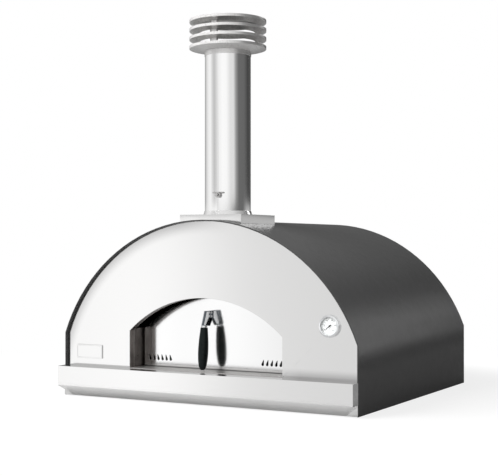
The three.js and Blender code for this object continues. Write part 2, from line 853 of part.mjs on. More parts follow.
// A channel, open underneath, that the door stands on
function doorFoot() {
  const half = doorArch.half;
  const bottom = hearthTop + gap;
  const top = skinBottom - gap;
  const back = doorY + doorDepth;
  const section = polygon([
    [doorY, bottom], [doorY + doorSheet, bottom], [doorY + doorSheet, top - doorSheet],
    [back - doorSheet, top - doorSheet], [back - doorSheet, bottom], [back, bottom],
    [back, top], [doorY, top],
  ]);
  return alongX(section, -half, 2 * half);
}

// The bracket's side outline in Y and Z, or its pocket's when inset is the flange's thickness.
// The lower corners are sharp, so they move in by more than the inset.
function bracketOutline(inset) {
  const slope = Math.tan(gripTilt);
  const bottomAt = (reach) => gripAxisTop + (reach - gripAxisReach) * slope + inset;
  const outerTop = bracketReachTop - inset;
  const outerBottom = bracketReachBottom - inset * bracketCornerRun;
  const innerBottom = bracketInnerBottom + inset * bracketCornerRun;
  const seatBack = gap + inset;
  const corners = [
    [seatBack, bracketTop - inset], [seatBack, bracketTop - bracketSeat + inset / 2],
    [innerBottom, bottomAt(innerBottom)], [outerBottom, bottomAt(outerBottom)],
    [outerTop, bracketTop - inset],
  ];
  return polygon(corners.map(([reach, z]) => [doorY - reach, z]));
}

function handleBracket() {
  const left = handleX - bracketWidth / 2;
  const body = alongX(bracketOutline(0), left, bracketWidth);
  const pocket = alongX(bracketOutline(bracketSheet), left + bracketSheet, bracketWidth);
  return cut(body, pocket, ...screwHoleTools(screwRadius + gap));
}

function handleScrew(z) {
  const headBack = -gap - bracketSheet - gap;
  const headFront = headBack - screwHeadHeight;
  const profile = [
    [0, headFront], [screwHeadRadius, headFront], [screwHeadRadius, headBack],
    [screwRadius, headBack], [screwRadius, screwLength], [0, screwLength],
  ];
  return moved(turnedY(profile), screwX, doorY, z);
}

// The grip's outline from its top down: a slender neck, a belly low down and a rounded end
function gripProfile(top, bore, boreDepth) {
  const steps = 14;
  const belly = 0.56;
  const outline = [];
  for (let step = 0; step <= steps; step += 1) {
    const t = step / steps;
    const swell = t < belly
      ? gripTopRadius + (gripWidestRadius - gripTopRadius) * Math.sin(Math.PI / 2 * t / belly)
      : gripEndRadius + (gripWidestRadius - gripEndRadius) * Math.sqrt(1 - ((t - belly) / (1 - belly)) ** 2);
    outline.push([swell, top - t * gripLength]);
  }
  outline.reverse();
  return [[0, top - gripLength], ...outline, [bore, top], [bore, top - boreDepth], [0, top - boreDepth]];
}

function addHandle(door) {
  piece(door, 'handle_bracket', handleBracket(), polished);
  const [upper, lower] = screwHeights();
  piece(door, 'handle_screw_upper', handleScrew(upper), zinc);
  piece(door, 'handle_screw_lower', handleScrew(lower), zinc);
  const grip = new THREE.Group();
  grip.position.set(handleX, doorY - gripAxisReach, gripAxisTop);
  grip.rotation.x = -gripTilt;
  door.add(grip);
  const ferrule = tubeProfile(tangRadius + gap, ferruleRadius, -gap - ferruleLength, -gap);
  const gripTop = -2 * gap - ferruleLength;
  const boreDepth = tangLength + gripTop + 2 * gap;
  piece(grip, 'handle_tang', rodZ(tangRadius, -tangLength, -gap, smallSegments), zinc);
  piece(grip, 'handle_ferrule', turnedZ(ferrule, smallSegments), chrome);
  piece(grip, 'handle_grip', turnedZ(gripProfile(gripTop, tangRadius + gap, boreDepth), smallSegments), gripResin);
}

function addDoor(oven) {
  const door = new THREE.Group();
  oven.add(door);
  piece(door, 'door_skin', doorSkin(), polished);
  piece(door, 'door_backing', doorBacking(), rawSteel);
  piece(door, 'door_insulation', doorBlanket(), blanket);
  piece(door, 'door_foot', doorFoot(), polished);
  addHandle(door);
}

function addCasing(oven) {
  piece(oven, 'base_tray', baseTray(), galvanised);
  piece(oven, 'vault_shell', casingShell(), paint);
  piece(oven, 'front_panel', frontPanel(), brushed);
  piece(oven, 'rear_panel', rearPanel(), paint);
  piece(oven, 'front_shelf', frontShelf(), brushed);
}

function addInsulation(oven) {
  piece(oven, 'floor_insulation', floorBoard(), board);
  piece(oven, 'vault_insulation', vaultBlanket(), blanket);
  piece(oven, 'front_insulation', frontBlanket(), blanket);
  piece(oven, 'rear_insulation', rearBlanket(), blanket);
}

function addChamber(oven) {
  piece(oven, 'chamber_vault', chamberVault(), rawSteel);
  piece(oven, 'chamber_front_wall', chamberFrontWall(), rawSteel);
  piece(oven, 'chamber_rear_wall', chamberRearWall(), rawSteel);
  addHearth(oven);
}

function addMouth(oven) {
  piece(oven, 'mouth_sill', mouthSill(), brushed);
  piece(oven, 'mouth_jamb_left', jamb(-1), darkSteel);
  piece(oven, 'mouth_jamb_right', jamb(1), darkSteel);
  piece(oven, 'door_stop_left', doorStop(-1), darkSteel);
  piece(oven, 'door_stop_right', doorStop(1), darkSteel);
}

const oven = new THREE.Group();
addCasing(oven);
addInsulation(oven);
addChamber(oven);
addMouth(oven);
addFlue(oven);
addThermometer(oven);
addDoor(oven);

export default oven;
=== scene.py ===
import json
import math

import bmesh
import bpy
from mathutils import Matrix, Vector


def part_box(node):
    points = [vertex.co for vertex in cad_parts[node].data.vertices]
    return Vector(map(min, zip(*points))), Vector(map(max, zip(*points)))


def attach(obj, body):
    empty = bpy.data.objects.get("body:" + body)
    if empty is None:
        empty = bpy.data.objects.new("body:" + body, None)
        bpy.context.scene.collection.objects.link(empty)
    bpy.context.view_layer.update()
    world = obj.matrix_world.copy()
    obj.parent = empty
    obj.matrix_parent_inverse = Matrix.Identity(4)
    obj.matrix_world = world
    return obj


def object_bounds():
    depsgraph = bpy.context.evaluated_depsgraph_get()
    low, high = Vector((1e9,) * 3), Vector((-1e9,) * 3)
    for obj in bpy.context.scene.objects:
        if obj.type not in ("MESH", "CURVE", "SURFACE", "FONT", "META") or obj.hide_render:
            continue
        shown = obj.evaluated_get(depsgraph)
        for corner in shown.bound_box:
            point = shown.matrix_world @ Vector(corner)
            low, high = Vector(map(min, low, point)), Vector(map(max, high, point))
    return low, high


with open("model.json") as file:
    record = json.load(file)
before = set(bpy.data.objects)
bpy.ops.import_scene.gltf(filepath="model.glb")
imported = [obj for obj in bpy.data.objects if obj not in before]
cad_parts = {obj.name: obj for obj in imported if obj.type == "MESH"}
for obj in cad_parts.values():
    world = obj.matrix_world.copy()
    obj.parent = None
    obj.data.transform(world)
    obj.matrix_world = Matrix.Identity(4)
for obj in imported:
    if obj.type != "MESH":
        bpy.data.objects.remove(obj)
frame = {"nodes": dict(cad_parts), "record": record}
CAD_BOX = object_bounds()

# Camera, solved from the photograph: metres, degrees, and millimetres for the lens and sensor
CAMERA_PLACE = (1.8619, -3.5250, 0.4993)
CAMERA_TURN = 28.91
CAMERA_TILT = 0.40
CAMERA_LENS = 82.39
SENSOR_WIDTH = 36
VIEW_END = 200

# Edge rounding of the CAD nodes in metres, by the start of a node's name
BEVEL_ANGLE = math.radians(34)
BEVEL_SEGMENTS = 2
WELD_DISTANCE = 1e-5
DEFAULT_BEVEL = 0.0003
BEVELS = {
    "vault_shell": 0.0012,
    "front_panel": 0.0006,
    "rear_panel": 0.0006,
    "base_tray": 0.0005,
    "front_shelf": 0.0006,
    "flue_plinth": 0.0006,
    "hearth_tile": 0.0015,
    "floor_insulation": 0.002,
    "vault_insulation": 0.003,
    "front_insulation": 0.002,
    "rear_insulation": 0.004,
    "door_insulation": 0.002,
    "handle_bracket": 0.0005,
    "handle_grip": 0.0008,
    "damper_knob": 0.0006,
    "thermometer_bezel": 0.0004,
    "thermometer_glass": 0.0002,
    "thermometer_needle": 0.0001,
}


class Graph:
    """A material's or world's nodes, with short calls for the kinds used here."""

    def __init__(self, tree):
        self.tree = tree
        tree.nodes.clear()
        self.place = None

    def add(self, kind, inputs=None, **settings):
        node = self.tree.nodes.new(kind)
        for name, value in settings.items():
            setattr(node, name, value)
        for name, value in (inputs or {}).items():
            self.feed(node, name, value)
        return node

    def feed(self, node, name, value):
        socket = node.inputs[name]
        if isinstance(value, bpy.types.NodeSocket):
            self.tree.links.new(value, socket)
        else:
            socket.default_value = value

    def point(self):
        if self.place is None:
            self.place = self.add("ShaderNodeTexCoord").outputs["Object"]
        return self.place

    def axes(self, vector=None):
        """The X, Y and Z of a vector, or of the place on the object in metres."""
        whole = self.point() if vector is None else vector
        return self.add("ShaderNodeSeparateXYZ", {"Vector": whole}).outputs

    def stretched(self, stretch):
        if stretch is None:
            return self.point()
        return self.add("ShaderNodeMapping", {"Vector": self.point(), "Scale": stretch}).outputs[0]

    def noise(self, scale, detail=3, roughness=0.5, stretch=None, distortion=0):
        """Soft noise with about scale waves to the metre, along each axis times its stretch."""
        inputs = {
            "Vector": self.stretched(stretch), "Scale": scale, "Detail": detail,
            "Roughness": roughness, "Distortion": distortion,
        }
        return self.add("ShaderNodeTexNoise", inputs).outputs["Fac"]

    def spread(self, scale, detail=3, roughness=0.5, stretch=None, distortion=0):
        """The same noise widened to the whole range from 0 to 1."""
        return self.remap(self.noise(scale, detail, roughness, stretch, distortion), 0, 1)

    def cells(self, scale):
        """Distance to the middle of the nearest cell, with about scale cells to the metre."""
        inputs = {"Vector": self.point(), "Scale": scale}
        return self.add("ShaderNodeTexVoronoi", inputs).outputs["Distance"]

    def remap(self, value, low, high, start=0.3, end=0.7, smooth=False):
        """Low where the value is start, high where it is end. A noise is mostly between 0.3 and 0.7."""
        inputs = {"Value": value, "From Min": start, "From Max": end, "To Min": low, "To Max": high}
        interpolation = "SMOOTHSTEP" if smooth else "LINEAR"
        return self.add("ShaderNodeMapRange", inputs, interpolation_type=interpolation).outputs[0]

    def maths(self, operation, first, second=0.0):
        return self.add("ShaderNodeMath", {0: first, 1: second}, operation=operation).outputs[0]

    def times(self, first, second):
        return self.maths("MULTIPLY", first, second)

    def ramp(self, value, stops):
        node = self.add("ShaderNodeValToRGB", {"Fac": value})
        elements = node.color_ramp.elements
        while len(elements) < len(stops):
            elements.new(0.5)
        for element, (place, colour) in zip(elements, stops):
            element.position = place
            element.color = (*colour, 1)
        return node.outputs["Color"]

    def mix(self, factor, first, second, blend="MIX"):
        inputs = {0: factor, 6: first, 7: second}
        return self.add("ShaderNodeMix", inputs, data_type="RGBA", blend_type=blend).outputs[2]

    def shader_mix(self, factor, first, second):
        return self.add("ShaderNodeMixShader", {0: factor, 1: first, 2: second}).outputs[0]

    def diffuse(self, colour):
        return self.add("ShaderNodeBsdfDiffuse", {"Color": colour}).outputs[0]

    def bump(self, height, distance, strength=1.0, below=None):
        inputs = {"Height": height, "Distance": distance, "Strength": strength}
        if below is not None:
            inputs["Normal"] = below
        return self.add("ShaderNodeBump", inputs).outputs[0]


def grey(value, warmth=0.0):
    return (value * (1 + warmth), value, value * (1 - warmth), 1)


def material(name, colour, roughness, normal=None, metallic=0.0, **constants):
    """A material from three functions of its graph: colour, roughness and normal."""
    made = bpy.data.materials.new(name)
    made.use_nodes = True
    graph = Graph(made.node_tree)
    shader = graph.add("ShaderNodeBsdfPrincipled")
    output = graph.add("ShaderNodeOutputMaterial")
    graph.tree.links.new(shader.outputs[0], output.inputs["Surface"])
    graph.feed(shader, "Base Color", colour(graph))
    graph.feed(shader, "Roughness", roughness(graph))
    if normal:
        graph.feed(shader, "Normal", normal(graph))
    graph.feed(shader, "Metallic", metallic)
    for socket, value in constants.items():
        graph.feed(shader, socket.replace("_", " "), value)
    return made


# The side walls roll gently into the arch: heights where the roll starts, of the knee,
# and where it ends, then the tangent of its lean at the knee
ROLL_START = 0.09
KNEE_HEIGHT = 0.209
ROLL_END = 0.2412
ROLL_LEAN = 0.38


def rolled_knee(g):
    """Lean that grows from the wall to the knee and is taken up by the arch's first facet above it."""
    height = g.axes()["Z"]
    below = g.remap(height, 0, 1, ROLL_START, KNEE_HEIGHT)
    above = g.remap(height, 1, 0, KNEE_HEIGHT, ROLL_END)
    low_rise = g.times(g.times(below, below), (KNEE_HEIGHT - ROLL_START) / 2)
    high_rise = g.times(g.times(above, above), (ROLL_END - KNEE_HEIGHT) / -2)
    return g.bump(g.maths("ADD", low_rise, high_rise), -ROLL_LEAN)


def casing_paint(name, bend=None):
    """Fine textured anthracite paint with painted shade that darkens it towards the foot; bend turns the
    surface under it.
    """
    def colour(g):
        tone = g.mix(g.spread(9, 2), grey(0.068), grey(0.077))
        # Painted shade: the paint darkens from the knee down to the foot
        foot = g.remap(g.axes()["Z"], 1, 0, 0, KNEE_HEIGHT)
        flecks = g.times(g.spread(700, 2), 0.25)
        return g.mix(flecks, g.mix(foot, tone, grey(0.045)), grey(0.120))

    def roughness(g):
        return g.remap(g.noise(40, 3), 0.30, 0.36)

    def normal(g):
        grains = g.bump(g.cells(1400), 0.00008, 0.5, bend(g) if bend else None)
        return g.bump(g.noise(420, 3), 0.00012, 0.35, grains)

    return material(name, colour, roughness, normal, Specular_IOR_Level=0.3)


# Stretch of the grain of sheet metal: lines along X, or upright
ACROSS = (6, 1400, 1400)
UPRIGHT = (1400, 1400, 6)

# Shares of its tone that sheet metal keeps in its lines and clouds, and under painted shade
LINE_TONE = 0.985
SHADE_TONE = 0.3

# Roughness that the darkening adds
DARKENING_ROUGHNESS = 0.2


def soot_colour(g):
    base = g.mix(g.spread(22, 5, 0.6), (0.12, 0.104, 0.096, 1), (0.22, 0.195, 0.18, 1))
    return g.mix(g.times(g.spread(260, 3), 0.4), base, grey(0.06, 0.05))


def sheet_metal(name, tone, warmth, rough, grain, depth, darkening=None, shade_mask=None, bow=None, **constants):
    """Stainless sheet with lines along its grain. Two masks darken it, the first with a darker colour and
    the second as painted shade; bow turns the surface.
    """
    def colour(g):
        lines = g.mix(g.spread(1, 3, 0.6, grain), grey(tone * LINE_TONE, warmth), grey(tone, warmth))
        clean = g.mix(g.times(g.spread(5, 2), 0.3), lines, grey(tone * LINE_TONE, warmth))
        # Painted shade: darker steel where the shade mask is
        if shade_mask:
            clean = g.mix(shade_mask(g), clean, grey(tone * SHADE_TONE, warmth))
        return g.mix(darkening(g), clean, soot_colour(g)) if darkening else clean

    def roughness(g):
        clean = g.remap(g.noise(1, 4, 0.6, grain), rough * 0.92, rough * 1.08)
        return g.maths("ADD", clean, g.times(darkening(g), DARKENING_ROUGHNESS)) if darkening else clean

    def normal(g):
        return g.bump(g.noise(1, 4, 0.65, grain), depth, 0.5, bow(g) if bow else None)

    return material(name, colour, roughness, normal, **{"metallic": 1.0, **constants})


# The casing's arch as a circle: height of its centre, and its radius
VAULT_CENTRE = 0.0118
VAULT_RADIUS = 0.5702

# Painted shade band inside the arch: its width and darkest share, and between which X it fades out
RIM_SHADE = 0.05
RIM_DARKEST = 0.55
RIM_FADE = (-0.10, 0.12)

# Painted shade band above the shelf: its darkest share, the height of its end, and between which X it comes
# in
FOOT_DARKEST = 0.6
FOOT_SHADE_TOP = 0.135
FOOT_FADE = (0.20, 0.34)


def panel_shade(g):
    """Painted shade beside the casing's left rim, and above the shelf towards the right."""
    across, _, height = g.axes()
    rise = g.maths("SUBTRACT", height, VAULT_CENTRE)
    reach = g.maths("SQRT", g.maths("ADD", g.times(across, across), g.times(rise, rise)))
    rim = g.remap(reach, 0, RIM_DARKEST, VAULT_RADIUS - RIM_SHADE, VAULT_RADIUS, smooth=True)
    left = g.remap(across, 1, 0, *RIM_FADE, smooth=True)
    shelf_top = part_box("front_shelf")[1][2]
    foot = g.remap(height, FOOT_DARKEST, 0, shelf_top, FOOT_SHADE_TOP, smooth=True)
    right = g.remap(across, 0, 1, *FOOT_FADE)
    return g.maths("MAXIMUM", g.times(rim, left), g.times(foot, right))


# Darker colour on the fold round the mouth: depths behind the panel's face between which it comes in,
# and half widths and heights between which it ends
FOLD_DARK_DEPTHS = (0.0012, 0.0022)
FOLD_DARK_HALF_WIDTHS = (0.29, 0.30)
FOLD_DARK_HEIGHTS = (0.345, 0.355)


def mouth_soot(g):
    """Darker colour on the front panel's fold round the mouth, behind its face."""
    across, behind, up = g.axes()
    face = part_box("front_panel")[0][1]
    depth = g.remap(behind, 0, 1, *(face + depth for depth in FOLD_DARK_DEPTHS))
    width = g.remap(g.maths("ABSOLUTE", across), 1, 0, *FOLD_DARK_HALF_WIDTHS)
    height = g.remap(up, 1, 0, *FOLD_DARK_HEIGHTS)
    return g.times(depth, g.times(width, height))


# Where the door's bow starts across it, how softly, and its slope
BOW_START = -0.04
BOW_BLEND = 0.12
BOW_SLOPE = 0.024


def door_bow(g):
    """The door's right half turned a little towards the left."""
    inputs = {0: g.axes()["X"], 1: BOW_START, 2: BOW_BLEND}
    bend = g.add("ShaderNodeMath", inputs, operation="SMOOTH_MAX").outputs[0]
    return g.bump(bend, BOW_SLOPE)


# Heights above the bottom of the door's foot channel between which its painted shadow line ends
GAP_HEIGHTS = (0.0022, 0.0030)


def foot_gap(g):
    """Painted shadow line at the very bottom of the door's foot channel."""
    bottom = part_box("door_foot")[0][2]
    return g.remap(g.axes()["Z"], 1, 0, *(bottom + height for height in GAP_HEIGHTS))


# Angle between the cap's straps, and half angles about the pipe between which the painted shadow at a
# strap's edge comes in
STRAP_SPACING = math.radians(120)
STRAP_EDGE = (0.10, 0.11)


def strap_edges(g):
    """Painted shadow along the edges of the cap's three straps, found by their angle about the pipe."""
    across, behind, _ = g.axes()
    low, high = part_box("flue_pipe")
    forward = g.times(g.maths("SUBTRACT", behind, (low[1] + high[1]) / 2), -1.0)
    turn = g.maths("ABSOLUTE", g.maths("ARCTAN2", across, forward))
    other = g.maths("ABSOLUTE", g.maths("SUBTRACT", turn, STRAP_SPACING))
    return g.remap(g.maths("MINIMUM", turn, other), 0, 1, *STRAP_EDGE)


# Depths into the handle bracket, from its left, between which its painted bright reflection ends
BRIGHT_REFLECTION_DEPTHS = (0.0022, 0.0030)


def bracket_steel():
    """Painted reflections: a bright web at its left, in a darker pressed frame."""
    def colour(g):
        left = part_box("handle_bracket")[0][0]
        bright_reflection = g.remap(g.axes()["X"], 1, 0, *(left + depth for depth in BRIGHT_REFLECTION_DEPTHS))
        dark_reflection_tone = g.mix(g.spread(300, 4), (0.10, 0.115, 0.13, 1), (0.16, 0.18, 0.20, 1))
        return g.mix(bright_reflection, dark_reflection_tone, grey(0.90, -0.01))

    def roughness(g):
        return g.remap(g.noise(200, 3), 0.12, 0.2)

    def normal(g):
        return g.bump(g.noise(700, 3), 0.00001, 0.3)

    return material("bracket_steel", colour, roughness, normal, metallic=1.0)


def galvanised_steel():
    """Zinc-coated sheet with spangles."""
    def colour(g):
        spangles = g.remap(g.cells(90), 0, 1, 0, 0.9)
        return g.mix(spangles, grey(0.38, -0.02), grey(0.56, -0.02))

    def roughness(g):
        return g.remap(g.cells(90), 0.3, 0.55, 0, 0.9)

    def normal(g):
        return g.bump(g.noise(160, 3), 0.0002, 0.3)

    return material("galvanised_steel", colour, roughness, normal, metallic=1.0)


def chamber_steel():
    """Heat-tinted steel of the baking chamber."""
    def colour(g):
        lines = g.mix(g.spread(1, 3, 0.6, (900, 30, 30)), grey(0.34, 0.02), grey(0.46, 0.02))
        return g.mix(g.times(g.spread(14, 5, 0.6), 0.5), lines, (0.30, 0.25, 0.20, 1))

    def roughness(g):
        return g.remap(g.noise(25, 4), 0.3, 0.5)

    def normal(g):
        return g.bump(g.noise(220, 4, 0.6), 0.0002, 0.35)

    return material("chamber_steel", colour, roughness, normal, metallic=1.0)


def sooted_steel():
    def roughness(g):
        return g.remap(g.noise(30, 4), 0.38, 0.62)

    def normal(g):
        return g.bump(g.noise(300, 4, 0.6), 0.0003, 0.4)

    return material("sooted_steel", soot_colour, roughness, normal, metallic=0.8)


# Stretch of the insulation's flat fibres
FIBRES = (60, 60, 700)


def insulation():
    """Pale layered fibre blanket."""
    def colour(g):
        base = g.mix(g.spread(1, 5, 0.7, FIBRES), (0.80, 0.77, 0.69, 1), (0.92, 0.90, 0.85, 1))
        return g.mix(g.times(g.spread(45, 4, 0.6), 0.3), base, (0.72, 0.68, 0.58, 1))

    def roughness(g):
        return g.remap(g.noise(90, 2), 0.86, 0.97)

    def normal(g):
        fibres = g.bump(g.noise(1, 5, 0.7, FIBRES), 0.0008, 0.6)
        return g.bump(g.noise(55, 5, 0.65), 0.003, 0.5, fibres)

    return material("insulation", colour, roughness, normal, Sheen_Weight=0.25)


def firebrick():
    """Sandy tile with pores and darker grains."""
    def colour(g):
        base = g.mix(g.spread(12, 4), (0.62, 0.47, 0.31, 1), (0.72, 0.59, 0.43, 1))
        grains = g.remap(g.cells(330), 0, 1, 0.05, 0.6)
        return g.mix(g.times(grains, 0.3), base, (0.45, 0.34, 0.24, 1))

    def roughness(g):
        return g.remap(g.noise(150, 3), 0.82, 0.96)

    def normal(g):
        pores = g.bump(g.cells(240), 0.0006, 0.5)
        return g.bump(g.noise(700, 3), 0.0003, 0.5, pores)

    return material("firebrick", colour, roughness, normal)


def plated(name, low, high, warmth, smooth, rough, depth):
    """Chrome or zinc: low and high are its tones, smooth and rough its roughness."""
    def colour(g):
        return g.mix(g.spread(80, 3), grey(low, warmth), grey(high, warmth))

    def roughness(g):
        return g.remap(g.noise(180, 4), smooth, rough)

    def normal(g):
        return g.bump(g.noise(900, 3), depth, 0.3)

    return material(name, colour, roughness, normal, metallic=1.0)


def dial_enamel():
    def colour(g):
        return g.mix(g.spread(160, 3), grey(0.84, 0.004), grey(0.88, 0.004))

    def roughness(g):
        return g.remap(g.noise(220, 2), 0.3, 0.4)

    def normal(g):
        return g.bump(g.noise(500, 2), 0.00005, 0.3)

    return material("dial_enamel", colour, roughness, normal)


def dark_ink(name, tone):
    def colour(g):
        return g.mix(g.spread(900, 3), grey(tone), grey(tone * 1.6))

    def roughness(g):
        return g.remap(g.noise(700, 2), 0.45, 0.6)

    def normal(g):
        return g.bump(g.noise(1500, 2), 0.00003, 0.3)

    return material(name, colour, roughness, normal)


def dial_glass():
    """Clear glass that lets lamplight through to the dial."""
    def colour(g):
        return g.mix(g.spread(60, 2), (0.97, 0.99, 0.99, 1), (0.99, 1.0, 1.0, 1))

    def roughness(g):
        return g.remap(g.noise(120, 3), 0.0, 0.03)

    made = material("dial_glass", colour, roughness, Transmission_Weight=1.0, IOR=1.45)
    tree = made.node_tree
    output = next(node for node in tree.nodes if node.type == "OUTPUT_MATERIAL")
    shader = next(node for node in tree.nodes if node.type == "BSDF_PRINCIPLED")
    clear = tree.nodes.new("ShaderNodeBsdfTransparent")
    path = tree.nodes.new("ShaderNodeLightPath")
    blend = tree.nodes.new("ShaderNodeMixShader")
    tree.links.new(path.outputs["Is Shadow Ray"], blend.inputs["Fac"])
    tree.links.new(shader.outputs[0], blend.inputs[1])
    tree.links.new(clear.outputs[0], blend.inputs[2])
    tree.links.new(blend.outputs[0], output.inputs["Surface"])
    return made


def grip_resin():
    """Near-black resin with a soft swirl."""
    def colour(g):
        swirls = g.spread(38, 5, 0.6, distortion=1.5)
        return g.mix(swirls, (0.0050, 0.0085, 0.0085, 1), (0.0080, 0.0120, 0.0120, 1))

    def roughness(g):
        return g.remap(g.noise(120, 4), 0.26, 0.32)

    def normal(g):
        return g.bump(g.noise(650, 3), 0.00006, 0.35)

    return material("grip_resin", colour, roughness, normal, Specular_IOR_Level=0.15)


def slot_materials():
    """The finish of each of the record's material slots."""
    return {
        "casing_paint": casing_paint("casing_paint"),
        "brushed_stainless": sheet_metal("brushed_stainless", 0.82, 0.004, 0.10, ACROSS, 0.0000006),
        "polished_stainless": sheet_metal("polished_stainless", 0.93, 0.002, 0.07, UPRIGHT, 0.000001),
        "galvanised_steel": galvanised_steel(),
        "chamber_steel": chamber_steel(),
        "sooted_steel": sooted_steel(),
        "insulation": insulation(),
        "firebrick": firebrick(),
        "chrome_plate": plated("chrome_plate", 0.80, 0.86, -0.01, 0.04, 0.09, 0.00001),
        "zinc_plate": plated("zinc_plate", 0.52, 0.62, 0.01, 0.24, 0.38, 0.00004),
        "dial_enamel": dial_enamel(),
        "needle_paint": dark_ink("needle_paint", 0.02),
        "dial_glass": dial_glass(),
        "grip_resin": grip_resin(),
    }


def variant_materials():
    """Finishes that differ from their slot's, by the start of a node's name. The first that fits counts."""
    return {
        "vault_shell": casing_paint("shell_paint", rolled_knee),
        "front_panel": sheet_metal(
            "panel_stainless", 0.82, 0.004, 0.10, ACROSS, 0.0000006, mouth_soot, panel_shade
        ),
        "door_skin": sheet_metal("mirror_stainless", 0.90, 0.0, 0.13, UPRIGHT, 0.000001, bow=door_bow),
        "cap_strap": sheet_metal(
            "strap_stainless", 0.80, 0.01, 0.28, UPRIGHT, 0.000001, shade_mask=strap_edges, metallic=0.6
        ),
        "cap": sheet_metal("satin_stainless", 0.84, 0.01, 0.28, ACROSS, 0.000001, metallic=0.6),
        "door_foot": sheet_metal(
            "foot_stainless", 0.80, 0.004, 0.16, ACROSS, 0.000002, shade_mask=foot_gap, metallic=0.9
        ),
        "flue_foot_ring": sheet_metal(
            "ring_stainless", 0.84, 0.004, 0.24, ACROSS, 0.000001, metallic=0.9
        ),
        # Near-black backing: painted shade of the dark line between the door's skin and its foot
        "door_backing": dark_ink("backing_shade_black", 0.012),
        "mouth_sill": sheet_metal("sill_stainless", 0.62, 0.02, 0.34, ACROSS, 0.000004, metallic=0.8),
        "handle_bracket": bracket_steel(),
    }


def first_match(table, name, default):
    """The first entry whose key starts the name."""
    return next((value for start, value in table.items() if name.startswith(start)), default)


def dress_nodes(materials, variants):
    """Gives every CAD node its material, smooth shading and rounded edges."""
    for row in frame["record"]["subparts"]:
        name = row["node"]
        node = frame["nodes"][name]
        node.data.materials.clear()
        node.data.materials.append(first_match(variants, name, materials[row["material_slot"]]))
        smooth_shading(node)
        round_edges(node, first_match(BEVELS, name, DEFAULT_BEVEL))


def smooth_shading(node):
    if "custom_normal" in node.data.attributes:
        node.data.attributes.remove(node.data.attributes["custom_normal"])
    node.data.shade_smooth()


def round_edges(node, width):
    weld = node.modifiers.new("weld", "WELD")
    weld.merge_threshold = WELD_DISTANCE
    bevel = node.modifiers.new("edges", "BEVEL")
    bevel.width = width
    bevel.segments = BEVEL_SEGMENTS
    bevel.limit_method = "ANGLE"
    bevel.angle_limit = BEVEL_ANGLE
    bevel.use_clamp_overlap = False
    bevel.miter_outer = "MITER_ARC"
    normals = node.modifiers.new("normals", "WEIGHTED_NORMAL")
    normals.keep_sharp = True


def piece(name, mesh, finish, body):
    """A new piece from a bmesh, on a body and with the given finish."""
    data = bpy.data.meshes.new(name)
    mesh.to_mesh(data)
    mesh.free()
    data.materials.append(finish)
    item = bpy.data.objects.new(name, data)
    bpy.context.collection.objects.link(item)
    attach(item, body)


def skin_rings(mesh, rings):
    """Faces between neighbouring rings of vertices, and over the first and last ring."""
    for ring, following in zip(rings, rings[1:]):
        for index in range(len(ring)):
            after = (index + 1) % len(ring)
            mesh.faces.new([ring[index], ring[after], following[after], following[index]])
    mesh.faces.new(rings[-1])
    mesh.faces.new(list(reversed(rings[0])))
    bmesh.ops.recalc_face_normals(mesh, faces=mesh.faces)


# The bare plate at the lower left of the front panel, in metres
PLATE_LEFT = -0.492
PLATE_RIGHT = -0.389
PLATE_BOTTOM = 0.126
PLATE_TOP = 0.171
PLATE_PROUD = 0.004
PLATE_BEVEL = 0.0004
PLATE_CORNER = 0.002
PLATE_INNER_CORNER = 0.0006
PLATE_BORDER = 0.003
PLATE_STEP = 0.0006
CORNER_STEPS = 4


def rounded_rectangle(left, right, bottom, top, corner):
    points = []
    corners = [(right, top, 0), (left, top, 90), (left, bottom, 180), (right, bottom, 270)]
    for x, z, start in corners:
        centre_x = x - math.copysign(corner, x - (left + right) / 2)
        centre_z = z - math.copysign(corner, z - (bottom + top) / 2)
        for step in range(CORNER_STEPS + 1):
            angle = math.radians(start + 90 * step / CORNER_STEPS)
            points.append((centre_x + corner * math.cos(angle), centre_z + corner * math.sin(angle)))
    return points


def add_plate(materials):
    """A thin bare plate with a raised rim, standing on the front panel's face."""
    mesh = bmesh.new()
    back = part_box("front_panel")[0][1]
    front = back - PLATE_PROUD
    insets = [
        (0, back), (0, front + PLATE_BEVEL), (PLATE_BEVEL, front), (PLATE_BORDER, front),
        (PLATE_BORDER + PLATE_STEP, front + PLATE_STEP),
    ]
    rings = []
    for inset, y in insets:
        corner = max(PLATE_CORNER - inset, PLATE_INNER_CORNER)
        outline = rounded_rectangle(
            PLATE_LEFT + inset, PLATE_RIGHT - inset, PLATE_BOTTOM + inset, PLATE_TOP - inset, corner
        )
        rings.append([mesh.verts.new((x, y, z)) for x, z in outline])
    skin_rings(mesh, rings)
    piece("name_plate", mesh, materials["brushed_stainless"], "oven")


# Scale of the dial: degrees clockwise from the top as seen from the front, and metres
DIAL_START = -135
DIAL_SWEEP = 270
DIAL_MARKS = 50
DIAL_TOP_VALUE = 500
DIAL_LABELS = 5
MARK_OUTER = 0.0265
MARK_LONG = 0.0042
MARK_SHORT = 0.0022
MARK_WIDE = 0.0008
MARK_THIN = 0.0003
LABEL_RADIUS = 0.0182
LABEL_SIZE = 0.0052
UNIT_DROP = 0.0095
INK_LIFT = 0.00005
INK_DEPTH = 0.0001
GLYPH_WELD = 1e-7


def dial_face():
    low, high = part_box("thermometer_dial")
    return Vector(((low[0] + high[0]) / 2, low[1], (low[2] + high[2]) / 2))


def dial_direction(share):
    angle = math.radians(DIAL_START + DIAL_SWEEP * share)
    return Vector((math.sin(angle), 0, math.cos(angle)))


def add_block(mesh, centre, along, length, width, depth):
    """A small bar on the dial: along is its length's direction, and it stands towards -Y."""
    side = Vector((along.z, 0, -along.x))
    corners = []
    for lift in (0, depth):
        for a, b in ((-1, -1), (1, -1), (1, 1), (-1, 1)):
            offset = along * (a * length / 2) + side * (b * width / 2) - Vector((0, lift, 0))
            corners.append(mesh.verts.new(centre + offset))
    for quad in ((0, 1, 2, 3), (7, 6, 5, 4), (0, 4, 5, 1), (1, 5, 6, 2), (2, 6, 7, 3), (3, 7, 4, 0)):
        mesh.faces.new([corners[index] for index in quad])


